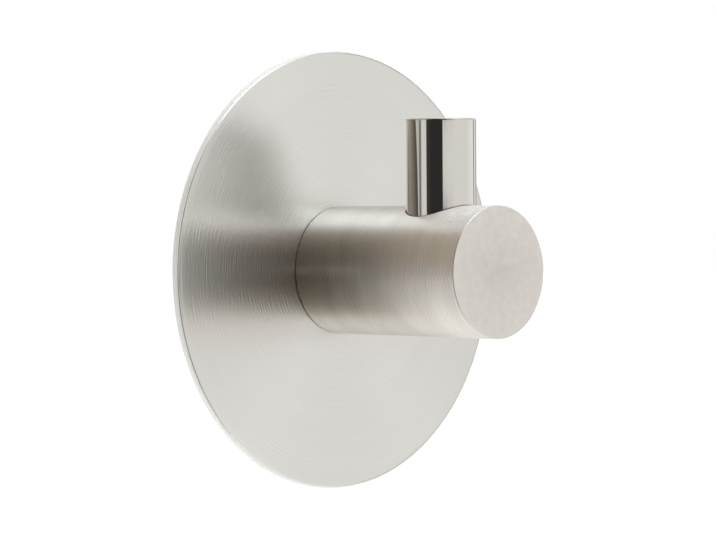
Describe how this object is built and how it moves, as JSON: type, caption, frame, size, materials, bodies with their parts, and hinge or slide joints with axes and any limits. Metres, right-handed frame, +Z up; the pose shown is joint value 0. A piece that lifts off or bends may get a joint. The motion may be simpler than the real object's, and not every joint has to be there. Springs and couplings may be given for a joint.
{
  "type": "wall hook",
  "caption": "Self-adhesive wall hook: a thin round brushed plate, a horizontal round post and a short upright peg that keeps a loop or towel from sliding off.",
  "frame": {"origin": "centre of the pad's back face, which meets the wall", "axes": "+Z up along the peg, +Y into the wall, so the post points along -Y into the room, and +X to the right seen from the room"},
  "size_m": [0.0515, 0.0272, 0.0514],
  "materials": {
    "plate_steel": "stainless steel brushed in circles about the plate's centre",
    "post_steel": "stainless steel bar brushed round its girth, end face turned",
    "peg_steel": "stainless steel pin, fine turned and nearly polished",
    "screw_steel": "plain stainless steel screw",
    "pad_foam": "grey acrylic foam tape, matte"
  },
  "bodies": {
    "root": {"back_plate": "plate_steel", "post": "post_steel", "peg": "peg_steel", "plate_screw": "screw_steel", "adhesive_pad": "pad_foam"}
  },
  "joints": []
}
